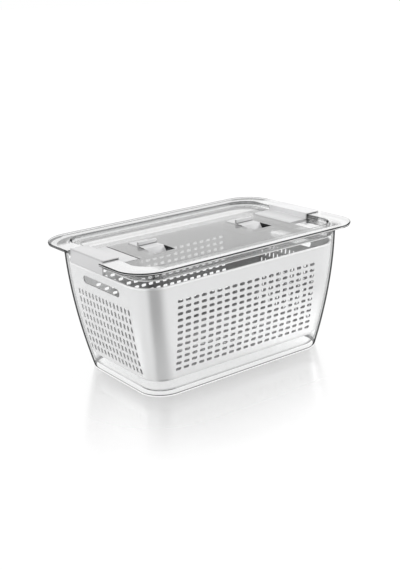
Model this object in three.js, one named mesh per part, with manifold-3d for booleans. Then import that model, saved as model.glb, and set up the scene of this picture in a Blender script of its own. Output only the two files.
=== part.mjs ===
// A clear fridge bin with a lift-out strainer basket, a clear lid, two side latches
// and two rocking air vents. Millimetres, +Z up; the origin is the middle of the base.
import * as THREE from 'three';
import { mergeVertices } from 'three/addons/utils/BufferGeometryUtils.js';
import Module from 'manifold-3d';

const wasm = await Module();
wasm.setup();

// Gaps shared by the pieces
const seatGap = 0.3;
const slideGap = 0.5;
const cutOverrun = 6;

// The clear bin: its walls bow outwards and would stand upright a little above the rim
const binRimHeight = 132.3;
const uprightAboveRim = 2.9;
const footLength = 220.5;
const lengthFlare = 34.3;
const footWidth = 132.2;
const widthFlare = 32.2;
const footCornerRadius = 26.4;
const cornerFlare = 3.8;
const bowShare = 1.83;
const binWall = 2;
const binFloor = 2.5;
const binFootRadius = 2.2;
const binHeelRadius = 7.5;
const binRimEndReach = 4.9;
const binRimSideReach = 4.5;
const binRimCornerRadius = 30;
const binRimThickness = 2.1;
const binRimEdge = 0.7;
const catchLength = 54;
const catchDepth = 3.7;

// The strainer basket that hangs clear of the bin's walls on four short feet
const basketGap = 1.9;
const basketWall = 1.8;
const basketRimSink = 17.3;
const basketUnderside = 14;
const basketHeelRadius = 5;
const basketRimBead = 0.6;
const basketRimDepth = 2.6;
const footTopRadius = 5;
const footTipRadius = 4;
const footSpacingX = 140;
const footSpacingY = 60;
const handSlotLength = 67;
const handSlotHeight = 8.2;
const handSlotDrop = 12.6;

// Its drain slots: long walls, short walls and floor. A field is a share of the foot's size.
const longSlotLength = 6.1;
const longSlotHeight = 2.9;
const longFieldShare = 0.751;
const longFieldRise = 12.1;
const longFieldDrop = 18;
const longColumns = 13;
const longRows = 8;
const shortSlotWidth = 3;
const shortSlotHeight = 5.9;
const shortFieldShare = 0.6975;
const shortFieldRise = 10.8;
const shortFieldDrop = 28.5;
const shortColumns = 10;
const shortRows = 5;
const floorSlotSize = 5;
const floorLengthShare = 0.7256;
const floorWidthShare = 0.6354;
const floorColumns = 9;
const floorRows = 4;

// The clear lid: a wide flange, a sunk panel and a plug skirt that carries the seal
const lidEndReach = 7.7;
const lidSideReach = 5.9;
const lidCornerRadius = 32;
const lidFlange = 2.6;
const lidFlangeEdge = 0.9;
const skirtWall = 2.2;
const skirtDepth = 11.1;
const skirtLedge = 1.4;
const skirtLedgeHeight = 1.2;
const panelDepth = 4.8;
const panelThickness = 2;
const sealSpace = 3.6;
const sealHeight = 4.6;
const sealBand = 1.2;
const sealLip = 0.6;
const sealLipShares = [0.15, 0.6];

// The side latches: a tab hinged in the lid, a riser, a strip over the rim and a flap with a hook
const latchWidth = 60;
const latchTabLength = 22;
const latchHingeDepth = 2;
const latchTab = 2.2;
const latchTabProud = 0.6;
const latchBackGap = 0.7;
const latchPinRadius = 0.9;
const latchPinLength = 1.6;
const latchRiser = 1.5;
const latchRiserGap = 0.8;
const latchStrip = 1.4;
const latchEdge = 0.7;
const latchReach = 3.7;
const flapWall = 1.6;
const flapFlare = 0.6;
const flapDrop = 14;
const hookGap = 0.6;
const hookHeight = 1.7;
const hookRamp = 1.3;
const pinHoleGap = 0.2;
const pocketFloor = 1.6;
const pocketSide = 2.5;
const pocketEnd = 1.8;

// The air vents: a rocking plate with a grip bar and a sloping tongue in a well of the lid
const ventSpacing = 124;
const ventWidth = 22;
const ventSideGap = 0.6;
const ventEndGap = 0.7;
const ventBack = 24.4;
const ventCrease = 6;
const ventTongue = 4.5;
const ventTongueDrop = 6.4;
const ventPlate = 1.6;
const ventProud = 0.6;
const ventBarFront = 6;
const ventBarThickness = 2.6;
const ventBarHeight = 4;
const ventBarEdge = 0.5;
const ventPivotDepth = 3.4;
const ventBarrelRadius = 1.7;
const ventPinRadius = 0.9;
const ventPinLength = 1.6;
const wellFloorGap = 0.8;
const wellWall = 2;
const wellFloor = 1.8;
const scoopLength = 13.6;
const airHoleWidth = 13;
const airHoleLength = 8;
const airHoleBack = 1.5;
const padMargin = 1.6;
const padThickness = 1.4;
const padBossInset = 1.2;

// Steps of the faceted rounds
const cornerSteps = 6;
const filletSteps = 3;
const wallSteps = 8;
const roundSides = 12;

// Sizes and heights that follow from those above
const binRimLength = footLength + lengthFlare + 2 * binRimEndReach;
const binRimWidth = footWidth + widthFlare + 2 * binRimSideReach;
const lidLength = binRimLength + 2 * lidEndReach;
const lidWidth = binRimWidth + 2 * lidSideReach;
const wallUprightHeight = binRimHeight + uprightAboveRim;
const basketHeight = binRimHeight - basketRimSink;
const rimUnderside = binRimHeight - binRimThickness;
const flangeUnderside = binRimHeight + seatGap;
const lidTop = flangeUnderside + lidFlange;
const panelTop = lidTop - panelDepth;
const panelUnderside = panelTop - panelThickness;
const skirtBottom = flangeUnderside - skirtDepth;

const clearPlastic = new THREE.MeshStandardMaterial({
  color: 0xeef2f3, roughness: 0.08, metalness: 0, transparent: true, opacity: 0.35,
});
const basketPlastic = new THREE.MeshStandardMaterial({ color: 0xdfe0e0, roughness: 0.25, metalness: 0 });
const latchPlastic = new THREE.MeshStandardMaterial({ color: 0xd6d7d7, roughness: 0.35, metalness: 0 });
const paleSilicone = new THREE.MeshStandardMaterial({ color: 0xe2e4e4, roughness: 0.55, metalness: 0 });
const darkSilicone = new THREE.MeshStandardMaterial({ color: 0x55585a, roughness: 0.6, metalness: 0 });

// A closed mesh as a solid that can be joined and cut
function solidOf(geometry) {
  const bare = geometry.clone();
  bare.deleteAttribute('normal');
  bare.deleteAttribute('uv');
  const merged = mergeVertices(bare);
  return new wasm.Manifold(new wasm.Mesh({
    numProp: 3,
    vertProperties: new Float32Array(merged.attributes.position.array),
    triVerts: new Uint32Array(merged.index.array),
  }));
}

function geometryOf(solid) {
  const mesh = solid.getMesh();
  const geometry = new THREE.BufferGeometry();
  geometry.setAttribute('position', new THREE.BufferAttribute(mesh.vertProperties, 3));
  geometry.setIndex(new THREE.BufferAttribute(mesh.triVerts, 1));
  geometry.computeVertexNormals();
  return geometry;
}

// A rounded rectangle as a section: half length, half width and corner radius
function section(length, width, radius) {
  return { x: length / 2, y: width / 2, radius };
}

function inset(outline, distance) {
  return { x: outline.x - distance, y: outline.y - distance, radius: outline.radius - distance };
}

// The outside of the bin's wall at a height
function binOutside(z) {
  const rise = 1 - Math.pow(1 - z / wallUprightHeight, bowShare);
  return section(
    footLength + lengthFlare * rise,
    footWidth + widthFlare * rise,
    footCornerRadius + cornerFlare * rise,
  );
}

function ring(outline, z) {
  const points = [];
  for (let corner = 0; corner < 4; corner += 1) {
    const signX = corner === 0 || corner === 3 ? 1 : -1;
    const signY = corner < 2 ? 1 : -1;
    for (let step = 0; step <= cornerSteps; step += 1) {
      const angle = (corner + step / cornerSteps) * Math.PI / 2;
      points.push(new THREE.Vector3(
        signX * (outline.x - outline.radius) + outline.radius * Math.cos(angle),
        signY * (outline.y - outline.radius) + outline.radius * Math.sin(angle),
        z,
      ));
    }
  }
  return points;
}

// Skins a row of rings. The ends are capped, or joined to each other where it is a loop.
function loft(rings, isLoop = false) {
  const count = rings[0].length;
  const vertices = rings.flat();
  const faces = [];
  const last = isLoop ? rings.length : rings.length - 1;
  for (let row = 0; row < last; row += 1) {
    const lower = row * count;
    const upper = ((row + 1) % rings.length) * count;
    for (let i = 0; i < count; i += 1) {
      const next = (i + 1) % count;
      faces.push(lower + i, lower + next, upper + next, lower + i, upper + next, upper + i);
    }
  }
  if (!isLoop) {
    const firstMiddle = vertices.length;
    const lastMiddle = firstMiddle + 1;
    const lastRow = (rings.length - 1) * count;
    vertices.push(new THREE.Vector3(0, 0, rings[0][0].z));
    vertices.push(new THREE.Vector3(0, 0, rings[rings.length - 1][0].z));
    for (let i = 0; i < count; i += 1) {
      const next = (i + 1) % count;
      faces.push(firstMiddle, next, i, lastMiddle, lastRow + i, lastRow + next);
    }
  }
  const geometry = new THREE.BufferGeometry().setFromPoints(vertices);
  geometry.setIndex(faces);
  return solidOf(geometry);
}

// Heights from low to high, both included
function levels(low, high, steps) {
  return Array.from({ length: steps + 1 }, (_, i) => low + (high - low) * i / steps);
}

// Steps round a bottom edge: how far the edge is drawn in and how high it has climbed
function edgeSteps(radius) {
  return levels(0, Math.PI / 2, filletSteps).map((angle) => ({
    drawIn: radius * (1 - Math.sin(angle)),
    climb: radius * (1 - Math.cos(angle)),
  }));
}

// An outline of [across, up] points in the XZ plane, extruded along Y about y = 0
function prismAlongY(points, width) {
  const shape = new THREE.Shape(points.map(([x, z]) => new THREE.Vector2(x, z)));
  const geometry = new THREE.ExtrudeGeometry(shape, { depth: width, bevelEnabled: false });
  geometry.rotateX(Math.PI / 2);
  geometry.translate(0, width / 2, 0);
  return solidOf(geometry);
}

// An outline of [y, z] points, extruded along X about x = 0
function prismAlongX(points, width) {
  const shape = new THREE.Shape(points.map(([y, z]) => new THREE.Vector2(y, z)));
  const geometry = new THREE.ExtrudeGeometry(shape, { depth: width, bevelEnabled: false });
  geometry.rotateX(Math.PI / 2);
  geometry.rotateZ(Math.PI / 2);
  geometry.translate(-width / 2, 0, 0);
  return solidOf(geometry);
}

function block(low, high) {
  const size = high.map((value, i) => value - low[i]);
  const geometry = new THREE.BoxGeometry(...size);
  geometry.translate(...low.map((value, i) => value + size[i] / 2));
  return solidOf(geometry);
}

function rodAlongY(radius, length, x, z) {
  const geometry = new THREE.CylinderGeometry(radius, radius, length, roundSides);
  geometry.translate(x, 0, z);
  return solidOf(geometry);
}

function rodAlongX(radius, length, y, z) {
  const geometry = new THREE.CylinderGeometry(radius, radius, length, roundSides);
  geometry.rotateZ(Math.PI / 2);
  geometry.translate(0, y, z);
  return solidOf(geometry);
}

// Points of a round stretch, from one angle to another in degrees
function arc(across, up, radius, fromDegrees, toDegrees, steps) {
  return levels(fromDegrees, toDegrees, steps).map((degrees) => {
    const angle = THREE.MathUtils.degToRad(degrees);
    return [across + radius * Math.cos(angle), up + radius * Math.sin(angle)];
  });
}

function mirroredX(solid) {
  return solid.mirror([1, 0, 0]);
}

function makeBin() {
  const rim = section(binRimLength, binRimWidth, binRimCornerRadius);
  const foot = edgeSteps(binFootRadius).map(({ drawIn, climb }) => (
    ring(inset(binOutside(climb), drawIn), climb)));
  const outside = levels(binFootRadius, rimUnderside, wallSteps).slice(1).map((z) => (
    ring(binOutside(z), z)));
  const heelStart = binFloor + binHeelRadius;
  const inside = levels(heelStart, binRimHeight, wallSteps).slice(1).reverse().map((z) => (
    ring(inset(binOutside(z), binWall), z)));
  const heel = edgeSteps(binHeelRadius).reverse().map(({ drawIn, climb }) => {
    const z = binFloor + climb;
    return ring(inset(binOutside(z), binWall + drawIn), z);
  });
  const shell = loft([
    ...foot,
    ...outside,
    ring(inset(rim, binRimEdge), rimUnderside),
    ring(rim, rimUnderside + binRimEdge),
    ring(rim, binRimHeight - binRimEdge),
    ring(inset(rim, binRimEdge), binRimHeight),
    ...inside,
    ...heel,
  ]);
  // the rib under each end of the rim that the latch closes over
  const catchInner = binOutside(rimUnderside).x - binWall / 2;
  const catchRib = prismAlongY([
    [catchInner, rimUnderside - catchDepth],
    [rim.x - catchDepth / 2, rimUnderside - catchDepth],
    [rim.x, rimUnderside - catchDepth / 2],
    [rim.x, rimUnderside + binRimThickness / 2],
    [catchInner, rimUnderside + binRimThickness / 2],
  ], catchLength);
  return shell.add(catchRib).add(mirroredX(catchRib));
}

function basketOutside(z) {
  return inset(binOutside(z), binWall + basketGap);
}

// Slots on a grid, cut as blocks that pass through both facing walls
function slotGrid(field, low, high, makeSlot) {
  const slots = [];
  for (const across of levels(-field.length / 2, field.length / 2, field.columns - 1)) {
    for (const up of levels(low, high, field.rows - 1)) slots.push(makeSlot(across, up));
  }
  return wasm.Manifold.union(slots);
}

function makeBasket() {
  const underEdge = edgeSteps(basketHeelRadius).map(({ drawIn, climb }) => (
    ring(inset(basketOutside(basketUnderside + climb), drawIn), basketUnderside + climb)));
  const wallStart = basketUnderside + basketHeelRadius;
  const beadStart = basketHeight - basketRimDepth;
  const outside = levels(wallStart, beadStart - basketRimBead, wallSteps).slice(1).map((z) => (
    ring(basketOutside(z), z)));
  const inside = levels(wallStart, basketHeight, wallSteps).slice(1).reverse().map((z) => (
    ring(inset(basketOutside(z), basketWall), z)));
  const innerRadius = basketHeelRadius - basketWall;
  const innerEdge = edgeSteps(innerRadius).reverse().map(({ drawIn, climb }) => {
    const z = basketUnderside + basketWall + climb;
    return ring(inset(basketOutside(z), basketWall + drawIn), z);
  });
  const rim = basketOutside(basketHeight);
  const shell = loft([
    ...underEdge,
    ...outside,
    ring(inset(basketOutside(beadStart), -basketRimBead), beadStart),
    ring(inset(rim, -basketRimBead), basketHeight - basketRimBead),
    ring(rim, basketHeight),
    ...inside,
    ...innerEdge,
  ]);

  const feet = [];
  for (const signX of [-1, 1]) {
    for (const signY of [-1, 1]) {
      const tip = binFloor + seatGap;
      const reach = basketUnderside + basketWall / 2 - tip;
      const geometry = new THREE.CylinderGeometry(footTopRadius, footTipRadius, reach, roundSides);
      geometry.rotateX(Math.PI / 2);
      geometry.translate(signX * footSpacingX / 2, signY * footSpacingY / 2, tip + reach / 2);
      feet.push(solidOf(geometry));
    }
  }

  const longSlots = slotGrid(
    { columns: longColumns, rows: longRows, length: footLength * longFieldShare },
    basketUnderside + longFieldRise, basketHeight - longFieldDrop,
    (x, z) => block(
      [x - longSlotLength / 2, -lidWidth / 2, z - longSlotHeight / 2],
      [x + longSlotLength / 2, lidWidth / 2, z + longSlotHeight / 2],
    ));
  const shortSlots = slotGrid(
    { columns: shortColumns, rows: shortRows, length: footWidth * shortFieldShare },
    basketUnderside + shortFieldRise, basketHeight - shortFieldDrop,
    (y, z) => block(
      [-lidLength / 2, y - shortSlotWidth / 2, z - shortSlotHeight / 2],
      [lidLength / 2, y + shortSlotWidth / 2, z + shortSlotHeight / 2],
    ));
  const floorHalfWidth = footWidth * floorWidthShare / 2;
  const floorSlots = slotGrid(
    { columns: floorColumns, rows: floorRows, length: footLength * floorLengthShare },
    -floorHalfWidth, floorHalfWidth,
    (x, y) => block(
      [x - floorSlotSize / 2, y - floorSlotSize / 2, basketUnderside - basketWall],
      [x + floorSlotSize / 2, y + floorSlotSize / 2, basketUnderside + basketWall * 2],
    ));
  const slotRadius = handSlotHeight / 2;
  const slotEnd = handSlotLength / 2 - slotRadius;
  const slotMiddle = basketHeight - handSlotDrop;
  const handSlot = prismAlongX([
    ...arc(slotEnd, slotMiddle, slotRadius, -90, 90, cornerSteps),
    ...arc(-slotEnd, slotMiddle, slotRadius, 90, 270, cornerSteps),
  ], lidLength);

  return shell
    .subtract(wasm.Manifold.union([longSlots, shortSlots, floorSlots, handSlot]))
    .add(wasm.Manifold.union(feet));
}

// The plug skirt stands inside the bin's mouth and leaves room for the seal
const skirtOutside = inset(binOutside(binRimHeight), binWall + sealSpace);
const skirtInside = inset(skirtOutside, skirtWall);

// The latch hinge, on the right-hand side. The tab's inner end is round about it.
const latchBarrelRadius = latchHingeDepth + latchTabProud;
const hingeX = skirtInside.x - latchTabLength;
const hingeZ = panelTop - latchHingeDepth;

// The vent pivot, in the plane through the middle of a vent
const pivotY = ventBarFront + ventBarThickness / 2;
const ventTop = panelTop + ventProud;
const pivotZ = ventTop - ventPivotDepth;
const tongueTipZ = ventTop - ventTongueDrop;
const wellBottom = tongueTipZ - wellFloorGap - seatGap;

function makeLatchPocket() {
  const floorZ = hingeZ - latchBarrelRadius - slideGap;
  const innerX = hingeX - latchBarrelRadius - latchBackGap;
  const halfWidth = latchWidth / 2 + slideGap;
  const boss = block(
    [innerX - pocketEnd, -halfWidth - pocketSide, floorZ - pocketFloor],
    [skirtInside.x + skirtWall / 2, halfWidth + pocketSide, panelTop - panelThickness / 2],
  );
  const hollow = block(
    [innerX, -halfWidth, floorZ],
    [skirtInside.x, halfWidth, lidTop + cutOverrun],
  );
  const pinHole = rodAlongY(
    latchPinRadius + pinHoleGap, latchWidth + 2 * (latchPinLength + seatGap), hingeX, hingeZ);
  const notch = block(
    [skirtOutside.x, -halfWidth, flangeUnderside - seatGap],
    [lidLength / 2 + cutOverrun, halfWidth, lidTop + cutOverrun],
  );
  return { boss, cuts: hollow.add(pinHole).add(notch) };
}

function makeVentWell() {
  const halfWidth = ventWidth / 2 + ventSideGap;
  const back = ventBack + ventEndGap;
  const front = -(ventCrease + ventTongue) - ventEndGap;
  const shellX = 2 * (halfWidth + wellWall);
  const underside = wellBottom - wellFloor;
  const boss = prismAlongX([
    [back + wellWall, panelTop - panelThickness / 2],
    [front - scoopLength - wellWall, panelTop - panelThickness / 2],
    [front - scoopLength - wellWall, panelUnderside - panelThickness / 2],
    [front - wellWall / 2, underside],
    [back + wellWall, underside],
  ], shellX);
  const hollow = prismAlongX([
    [back, panelTop + cutOverrun],
    [front - scoopLength, panelTop + cutOverrun],
    [front - scoopLength, panelTop],
    [front, wellBottom],
    [back, wellBottom],
  ], 2 * halfWidth);
  const pinHole = rodAlongX(
    ventPinRadius + pinHoleGap, ventWidth + 2 * (ventPinLength + seatGap), pivotY, pivotZ);
  const airHole = block(
    [-airHoleWidth / 2, airHoleBack - airHoleLength, underside - wellFloor],
    [airHoleWidth / 2, airHoleBack, wellBottom + wellFloor],
  );
  return { boss, cuts: hollow.add(pinHole).add(airHole) };
}

function makeLid() {
  const flange = section(lidLength, lidWidth, lidCornerRadius);
  const ledge = inset(skirtOutside, -skirtLedge);
  let lid = loft([
    ring(skirtInside, panelUnderside),
    ring(skirtInside, skirtBottom),
    ring(ledge, skirtBottom),
    ring(ledge, skirtBottom + skirtLedgeHeight),
    ring(skirtOutside, skirtBottom + skirtLedgeHeight),
    ring(skirtOutside, flangeUnderside),
    ring(inset(flange, lidFlangeEdge), flangeUnderside),
    ring(flange, flangeUnderside + lidFlangeEdge),
    ring(flange, lidTop - lidFlangeEdge),
    ring(inset(flange, lidFlangeEdge), lidTop),
    ring(skirtInside, lidTop),
    ring(skirtInside, panelTop),
  ]);
  const pocket = makeLatchPocket();
  const well = makeVentWell();
  for (const sign of [-1, 1]) {
    const wellPlace = [sign * ventSpacing / 2, 0, 0];
    lid = lid
      .add(sign > 0 ? pocket.boss : mirroredX(pocket.boss))
      .add(well.boss.translate(wellPlace))
      .subtract(sign > 0 ? pocket.cuts : mirroredX(pocket.cuts))
      .subtract(well.cuts.translate(wellPlace));
  }
  return lid;
}

// The seal ring: a band round the skirt with two thin lips towards the bin's wall
function makeLidSeal() {
  const low = skirtBottom + skirtLedgeHeight + seatGap;
  const band = inset(skirtOutside, -seatGap);
  const face = inset(band, -sealBand);
  const lipEdge = (z) => inset(binOutside(z), binWall + seatGap);
  const rings = [ring(band, low), ring(face, low)];
  for (const share of sealLipShares) {
    const root = low + sealHeight * share;
    rings.push(
      ring(face, root),
      ring(lipEdge(root + sealLip), root + sealLip),
      ring(lipEdge(root + 2 * sealLip), root + 2 * sealLip),
      ring(face, root + 2 * sealLip),
    );
  }
  rings.push(ring(face, low + sealHeight), ring(band, low + sealHeight));
  return loft(rings, true);
}

// The right-hand latch, seen along Y: tab, riser, strip and the flap that closes over the rim
function makeLatch() {
  const tabTop = panelTop + latchTabProud;
  const tabUnder = tabTop - latchTab;
  const riserOuter = skirtInside.x - latchRiserGap;
  const stripUnder = lidTop + seatGap;
  const stripTop = stripUnder + latchStrip;
  const rimEdge = binRimLength / 2;
  const shoulder = rimEdge + latchReach;
  const flapOuter = shoulder + flapFlare;
  const flapUnder = stripTop - flapDrop;
  const hookTip = rimEdge + hookGap;
  const barrelEnd = 360 + THREE.MathUtils.radToDeg(Math.asin((tabUnder - hingeZ) / latchBarrelRadius));
  const body = prismAlongY([
    ...arc(hingeX, hingeZ, latchBarrelRadius, 90, barrelEnd, 2 * cornerSteps),
    [riserOuter, tabUnder],
    [riserOuter, stripUnder],
    [shoulder - flapWall, stripUnder],
    [flapOuter - flapWall, flapUnder + hookHeight + hookRamp],
    [hookTip, flapUnder + hookHeight],
    [hookTip, flapUnder + latchEdge],
    [hookTip + latchEdge, flapUnder],
    [flapOuter - latchEdge, flapUnder],
    [flapOuter, flapUnder + latchEdge],
    [shoulder, stripTop - latchEdge],
    [shoulder - latchEdge, stripTop],
    [riserOuter - latchRiser + latchEdge, stripTop],
    [riserOuter - latchRiser, stripTop - latchEdge],
    [riserOuter - latchRiser, tabTop],
  ], latchWidth);
  return body.add(rodAlongY(latchPinRadius, latchWidth + 2 * latchPinLength, hingeX, hingeZ));
}

function padOutline() {
  return {
    halfX: airHoleWidth / 2 + padMargin,
    front: airHoleBack - airHoleLength - padMargin,
    back: airHoleBack + padMargin,
    low: wellBottom + seatGap,
    high: wellBottom + seatGap + padThickness,
  };
}

function makeVentRocker() {
  const plateUnder = ventTop - ventPlate;
  const barTop = ventTop + ventBarHeight;
  const barBack = ventBarFront + ventBarThickness;
  const tongueEnd = -(ventCrease + ventTongue);
  const plate = prismAlongX([
    [ventBack, plateUnder],
    [ventBack, ventTop],
    [barBack, ventTop],
    [barBack, barTop - ventBarEdge],
    [barBack - ventBarEdge, barTop],
    [ventBarFront + ventBarEdge, barTop],
    [ventBarFront, barTop - ventBarEdge],
    [ventBarFront, ventTop],
    [-ventCrease, ventTop],
    [tongueEnd, tongueTipZ + ventBarEdge],
    [tongueEnd + ventPlate / 2, tongueTipZ],
    [tongueEnd + ventPlate, tongueTipZ + ventBarEdge],
    [ventPlate / 2 - ventCrease, plateUnder],
  ], ventWidth);
  const web = block(
    [-ventWidth / 2, pivotY - ventBarThickness / 2, pivotZ],
    [ventWidth / 2, pivotY + ventBarThickness / 2, plateUnder + ventPlate / 2],
  );
  const barrel = rodAlongX(ventBarrelRadius, ventWidth, pivotY, pivotZ);
  const pins = rodAlongX(ventPinRadius, ventWidth + 2 * ventPinLength, pivotY, pivotZ);
  const pad = padOutline();
  const boss = block(
    [padBossInset - pad.halfX, pad.front + 2 * padBossInset, pad.high + seatGap],
    [pad.halfX - padBossInset, pad.back - padBossInset, plateUnder + ventPlate / 2],
  );
  return wasm.Manifold.union([plate, web, barrel, pins, boss]);
}

function makeVentPad() {
  const pad = padOutline();
  return block([-pad.halfX, pad.front, pad.low], [pad.halfX, pad.back, pad.high]);
}

const model = new THREE.Group();

function addPiece(name, solid, material, x = 0) {
  const mesh = new THREE.Mesh(geometryOf(solid), material);
  mesh.name = name;
  mesh.position.set(x, 0, 0);
  model.add(mesh);
}

addPiece('bin', makeBin(), clearPlastic);
addPiece('strainer_basket', makeBasket(), basketPlastic);
addPiece('lid', makeLid(), clearPlastic);
addPiece('lid_seal', makeLidSeal(), paleSilicone);
const latch = makeLatch();
addPiece('latch_right', latch, latchPlastic);
addPiece('latch_left', mirroredX(latch), latchPlastic);
for (const [side, sign] of [['left', -1], ['right', 1]]) {
  addPiece(`vent_rocker_${side}`, makeVentRocker(), latchPlastic, sign * ventSpacing / 2);
  addPiece(`vent_pad_${side}`, makeVentPad(), darkSilicone, sign * ventSpacing / 2);
}

export default model;
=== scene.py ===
import math

import bmesh
import bpy
from mathutils import Matrix, Vector


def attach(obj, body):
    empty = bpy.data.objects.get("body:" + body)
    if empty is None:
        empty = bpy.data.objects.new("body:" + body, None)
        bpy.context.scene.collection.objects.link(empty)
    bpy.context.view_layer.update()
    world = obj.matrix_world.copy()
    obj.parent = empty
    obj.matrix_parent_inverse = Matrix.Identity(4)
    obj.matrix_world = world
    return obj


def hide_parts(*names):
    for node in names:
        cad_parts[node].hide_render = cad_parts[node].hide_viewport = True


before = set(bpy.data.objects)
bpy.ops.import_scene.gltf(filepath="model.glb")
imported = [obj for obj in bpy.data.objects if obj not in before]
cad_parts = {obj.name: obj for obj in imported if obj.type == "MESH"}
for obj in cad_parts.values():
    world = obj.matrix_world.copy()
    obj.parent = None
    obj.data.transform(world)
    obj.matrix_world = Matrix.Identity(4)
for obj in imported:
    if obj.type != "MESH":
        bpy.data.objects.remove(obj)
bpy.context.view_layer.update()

scene = bpy.context.scene
scene.view_settings.view_transform = "Standard"
scene.cycles.transparent_max_bounces = 48
print("frame loaded")


# helpers; all shapes are drawn in millimetres and scaled when they are finished

tolerance = {"straight": 0.01, "zero": 1e-4, "turned": 0.02}


def grown(outline, distance):
    return tuple(size + distance for size in outline)


def joinIn(bm, other):
    # puts one drawing into another and closes the first
    spare = bpy.data.meshes.new("spare")
    other.to_mesh(spare)
    other.free()
    bm.from_mesh(spare)
    bpy.data.meshes.remove(spare)


def newDrawing():
    bm = bmesh.new()
    # edge holds painted shade for dark lines on the clear film, turn how far its painted rim shade reaches
    bm.verts.layers.float.new("edge")
    bm.verts.layers.float.new("turn")
    return bm


def startLoop(bm, outline, z, steps):
    # a rounded rectangle: half length, half width, corner radius
    halfX, halfY, radius = outline
    corners = [bm.verts.new((x * halfX, y * halfY, z)) for x, y in ((-1, -1), (1, -1), (1, 1), (-1, 1))]
    bm.faces.new(corners)
    bmesh.ops.bevel(
        bm, geom=corners, offset=radius, offset_type="OFFSET",
        affect="VERTICES", segments=steps, profile=0.5, material=-1)
    fitLoop(bm, bm.verts, outline, outline, z, 0, 0)
    return bm.edges[:]


def fitLoop(bm, verts, before, after, z, mark, bend=1.0):
    # moves a loop from one rounded rectangle to another
    # a mark is one painted darkness for the whole loop, or one for its sides and one for its corners; this
    # painted shade shows as dark lines on the clear film
    side, corner = mark if isinstance(mark, tuple) else (mark, mark)
    edgeLayer, turnLayer = bm.verts.layers.float["edge"], bm.verts.layers.float["turn"]
    for v in verts:
        place, share = [], []
        for value, halfOld, halfNew in ((v.co.x, before[0], after[0]), (v.co.y, before[1], after[1])):
            straightOld, straightNew = halfOld - before[2], halfNew - after[2]
            isPast = abs(value) > straightOld - tolerance["straight"]
            place.append(math.copysign(straightNew if isPast else abs(value), value))
            share.append(math.copysign(max(0, abs(value) - straightOld), value))
        turn = Vector(share)
        if turn.length > tolerance["zero"]:
            turn.normalize()
        v.co = (place[0] + turn.x * after[2], place[1] + turn.y * after[2], z)
        isTurn = min(abs(turn.x), abs(turn.y)) > tolerance["turned"]
        v[turnLayer] = bend if isTurn else 0
        v[edgeLayer] = corner if isTurn else side


def climb(bm, edges, outline, steps):
    # extrudes a loop through rows of (outline, height, mark) or (outline, height, mark, bend); mark is the
    # row's painted shade and bend how far the painted rim shade reaches at its corners
    for after, z, *look in steps:
        made = bmesh.ops.extrude_edge_only(bm, edges=edges)["geom"]
        verts = {item for item in made if isinstance(item, bmesh.types.BMVert)}
        edges = [
            item for item in made
            if isinstance(item, bmesh.types.BMEdge) and all(v in verts for v in item.verts)]
        fitLoop(bm, verts, outline, after, z, *look)
        outline = after
    return edges


def closedRing(outline, z, steps, rows):
    # rows climbed from an open loop, and bridged back to it
    bm = newDrawing()
    edges = startLoop(bm, outline, z, steps)
    bmesh.ops.delete(bm, geom=bm.faces[:], context="FACES_ONLY")
    last = climb(bm, edges, outline, rows)
    first = [e for e in bm.edges if e.is_boundary and e not in last]
    bmesh.ops.bridge_loops(bm, edges=first + list(last))
    return bm


def arc(outline, z, angles, across, up, *look):
    # rows of a rounded edge: at 0 degrees it leaves a level face, at 90 an upright one
    turns = [math.radians(angle) for angle in angles]
    return [(grown(outline, across * (1 - math.sin(a))), z + up * (1 - math.cos(a)), *look) for a in turns]


def prism(points, width, along):
    # an outline in the XZ plane (along Y) or in the YZ plane (along X), centred
    bm = newDrawing()
    near = -width / 2
    flat = [(across, near, up) if along == "Y" else (near, across, up) for across, up in points]
    face = bm.faces.new([bm.verts.new(point) for point in flat])
    made = bmesh.ops.extrude_face_region(bm, geom=[face])["geom"]
    step = (0, width, 0) if along == "Y" else (width, 0, 0)
    bmesh.ops.translate(bm, vec=step, verts=[g for g in made if isinstance(g, bmesh.types.BMVert)])
    bmesh.ops.recalc_face_normals(bm, faces=bm.faces)
    return bm


def block(low, high):
    bm = newDrawing()
    bmesh.ops.create_cube(bm, size=1)
    bmesh.ops.scale(bm, vec=[b - a for a, b in zip(low, high)], verts=bm.verts)
    return moved(bm, [(a + b) / 2 for a, b in zip(low, high)])


def rod(radius, length, middle, along, sides=24):
    bm = newDrawing()
    bmesh.ops.create_cone(
        bm, cap_ends=True, segments=sides, radius1=radius, radius2=radius, depth=length)
    axis = "X" if along == "Y" else "Y"
    bmesh.ops.rotate(bm, cent=(0, 0, 0), matrix=Matrix.Rotation(math.radians(90), 3, axis), verts=bm.verts)
    return moved(bm, middle)


def soften(bm, width, steps, least=30):
    # rounds every edge that turns by more than the least angle
    sharp = [e for e in bm.edges if e.is_manifold and e.calc_face_angle(0) > math.radians(least)]
    bmesh.ops.bevel(
        bm, geom=sharp, offset=width, offset_type="OFFSET",
        affect="EDGES", segments=steps, profile=0.5, material=-1, clamp_overlap=True)
    return bm


def markAll(bm, edge):
    # gives a whole drawing one painted darkness, painted shade that the clear film shows as dark lines
    layer = bm.verts.layers.float["edge"]
    for v in bm.verts:
        v[layer] = edge


def flipped(bm):
    # the mirror image across the YZ plane
    bmesh.ops.scale(bm, vec=(-1, 1, 1), verts=bm.verts)
    bmesh.ops.reverse_faces(bm, faces=bm.faces)
    return bm


def moved(bm, step):
    bmesh.ops.translate(bm, vec=step, verts=bm.verts)
    return bm


def asObject(bm, name):
    mesh = bpy.data.meshes.new(name)
    bm.to_mesh(mesh)
    bm.free()
    made = bpy.data.objects.new(name, mesh)
    scene.collection.objects.link(made)
    return made


def settled(holder, extras=()):
    # the mesh after its modifiers, as a drawing again
    graph = bpy.context.evaluated_depsgraph_get()
    graph.update()
    mesh = bpy.data.meshes.new_from_object(holder.evaluated_get(graph))
    bm = bmesh.new()
    bm.from_mesh(mesh)
    bpy.data.meshes.remove(mesh)
    for old in [holder, *extras]:
        mesh = old.data
        bpy.data.objects.remove(old)
        bpy.data.meshes.remove(mesh)
    return bm


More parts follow.
